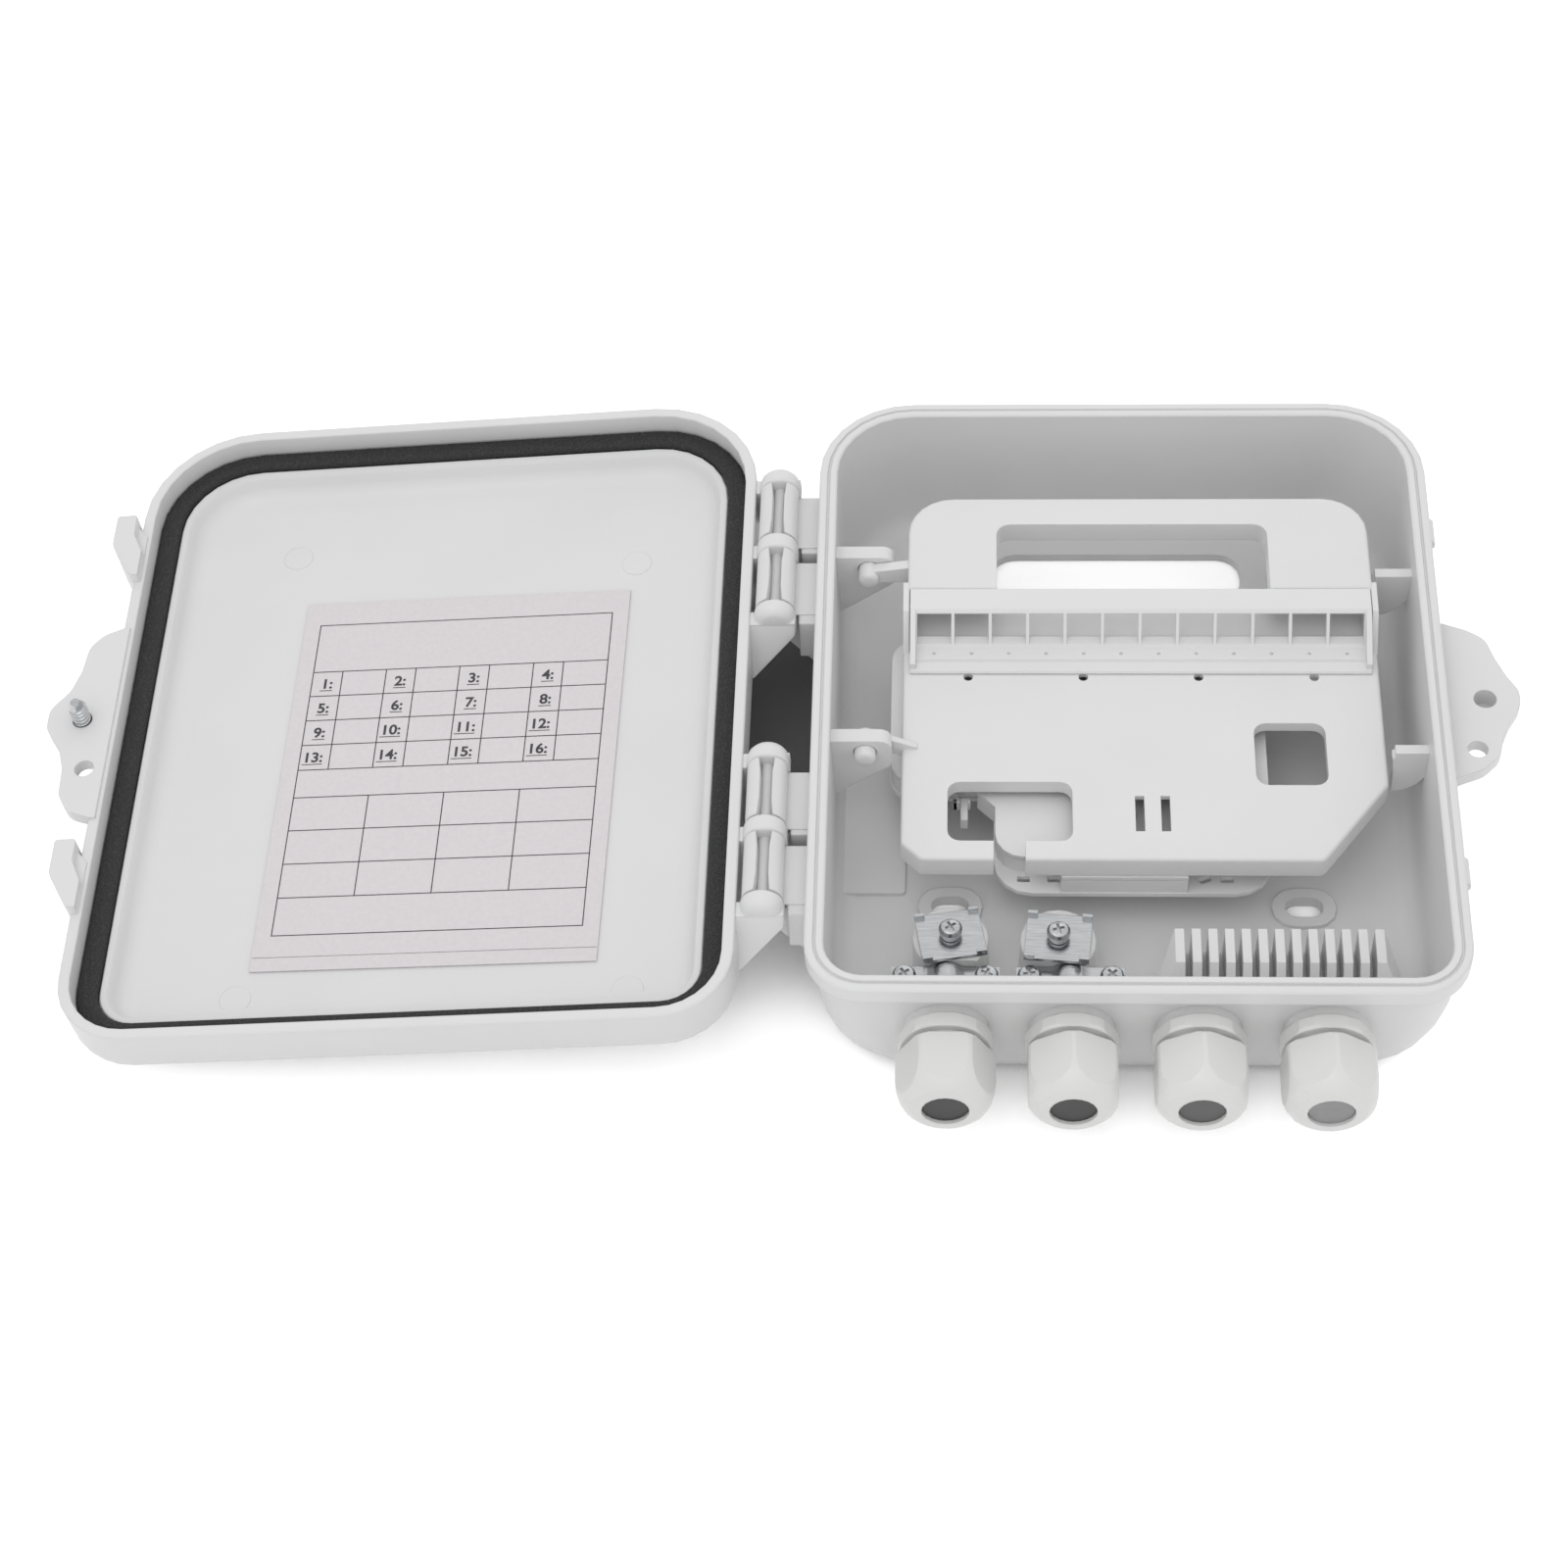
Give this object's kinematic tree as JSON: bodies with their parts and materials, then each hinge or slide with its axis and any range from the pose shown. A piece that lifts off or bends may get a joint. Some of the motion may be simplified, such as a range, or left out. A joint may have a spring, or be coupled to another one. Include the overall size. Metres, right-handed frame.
{
  "type": "fibre distribution box",
  "caption": "Outdoor fibre distribution box lying open: hinged lid with seal and label, lift-up adapter tray over a splice tray, cable clamps, comb and glands.",
  "frame": {"origin": "middle of the back face, which lies on the wall or the table", "axes": "+X from the hinge side to the lock side, +Y from the glands to the far wall, +Z out of the box"},
  "size_m": [0.4827, 0.2746, 0.0556],
  "materials": {
    "white_plastic": "satin moulded, off-white grey",
    "inner_plastic": "satin moulded, off-white grey",
    "gland_plastic": "smooth polyamide, off-white",
    "black_rubber": "matt black foam strip",
    "seal_rubber": "smooth dark rubber",
    "zinc_steel": "bright zinc plate",
    "paper": "matt self-adhesive paper"
  },
  "bodies": {
    "base": {"base_shell": "white_plastic", "cable_comb": "inner_plastic", "clamp_saddle_1": "zinc_steel", "clamp_plate_1": "zinc_steel", "clamp_washer_1": "zinc_steel", "clamp_screw_1": "zinc_steel", "clamp_saddle_2": "zinc_steel", "clamp_plate_2": "zinc_steel", "clamp_washer_2": "zinc_steel", "clamp_screw_2": "zinc_steel", "bracket_screw_1": "zinc_steel", "bracket_screw_2": "zinc_steel", "bracket_screw_3": "zinc_steel", "bracket_screw_4": "zinc_steel", "gland_body_1": "gland_plastic", "gland_seal_1": "seal_rubber", "gland_locknut_1": "gland_plastic", "gland_body_2": "gland_plastic", "gland_seal_2": "seal_rubber", "gland_locknut_2": "gland_plastic", "gland_body_3": "gland_plastic", "gland_seal_3": "seal_rubber", "gland_locknut_3": "gland_plastic", "gland_body_4": "gland_plastic", "gland_seal_4": "seal_rubber", "gland_locknut_4": "gland_plastic"},
    "lid": {"lid_shell": "white_plastic", "lid_gasket": "black_rubber", "label_sheet": "paper"},
    "lock_screw": {"lock_screw": "zinc_steel"},
    "tray": {"adapter_tray": "inner_plastic", "adapter_rack": "inner_plastic", "splice_tray": "inner_plastic", "splice_cover": "inner_plastic"},
    "gland_nut_1": {"gland_nut_1": "gland_plastic"},
    "gland_nut_2": {"gland_nut_2": "gland_plastic"},
    "gland_nut_3": {"gland_nut_3": "gland_plastic"},
    "gland_nut_4": {"gland_nut_4": "gland_plastic"}
  },
  "joints": [
    {"name": "lid_hinge", "type": "hinge", "parent": "base", "child": "lid", "pos_m": [-0.11507, 0, 0.0488], "axis": [0, -1, 0], "range_deg": [-184.82, 0]},
    {"name": "lock_screw_turn", "type": "hinge", "parent": "lid", "child": "lock_screw", "pos_m": [-0.34433, 0, 0.02947], "axis": [0.084, 0, -0.9965], "continuous": true},
    {"name": "tray_hinge", "type": "hinge", "parent": "base", "child": "tray", "pos_m": [-0.0845, 0, 0.0415], "axis": [0, -1, 0], "range_deg": [0, 95]},
    {"name": "gland_nut_1_turn", "type": "hinge", "parent": "base", "child": "gland_nut_1", "pos_m": [-0.0581, -0.128, 0.0288], "axis": [0, -1, 0], "continuous": true},
    {"name": "gland_nut_2_turn", "type": "hinge", "parent": "base", "child": "gland_nut_2", "pos_m": [-0.0194, -0.128, 0.0288], "axis": [0, -1, 0], "continuous": true},
    {"name": "gland_nut_3_turn", "type": "hinge", "parent": "base", "child": "gland_nut_3", "pos_m": [0.0194, -0.128, 0.0288], "axis": [0, -1, 0], "continuous": true},
    {"name": "gland_nut_4_turn", "type": "hinge", "parent": "base", "child": "gland_nut_4", "pos_m": [0.0581, -0.128, 0.0288], "axis": [0, -1, 0], "continuous": true}
  ]
}
